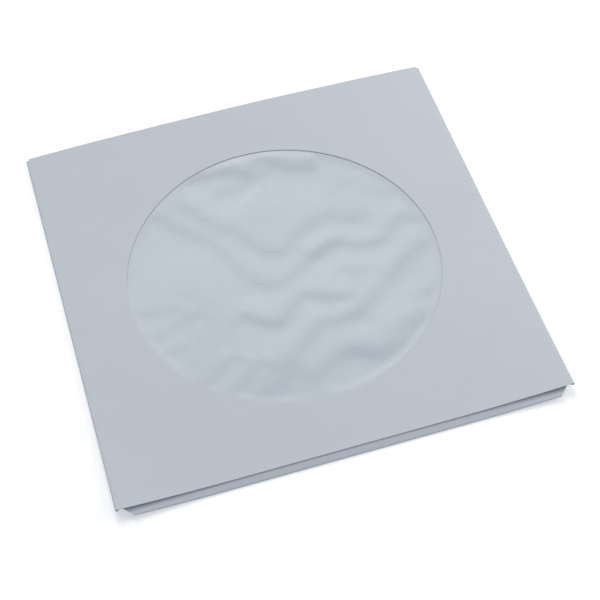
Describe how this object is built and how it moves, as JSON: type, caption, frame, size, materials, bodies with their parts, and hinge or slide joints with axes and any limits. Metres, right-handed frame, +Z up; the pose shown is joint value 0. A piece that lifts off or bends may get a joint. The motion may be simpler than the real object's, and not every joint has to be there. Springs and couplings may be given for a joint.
{
  "type": "cd sleeve",
  "caption": "Square paper sleeve for a disc, folded from one sheet, with a round window of clear wrinkled film and a closing flap folded under.",
  "frame": {"origin": "middle of the sleeve's outline, on the surface it lies on", "axes": "+Z up, out of the window side; the mouth is towards -Y and the closed fold towards +Y"},
  "size_m": [0.126, 0.1282, 0.0025],
  "materials": {
    "paper": "matte",
    "film": "satin"
  },
  "bodies": {
    "root": {"paper_sleeve": "paper", "window_film": "film"}
  },
  "joints": []
}
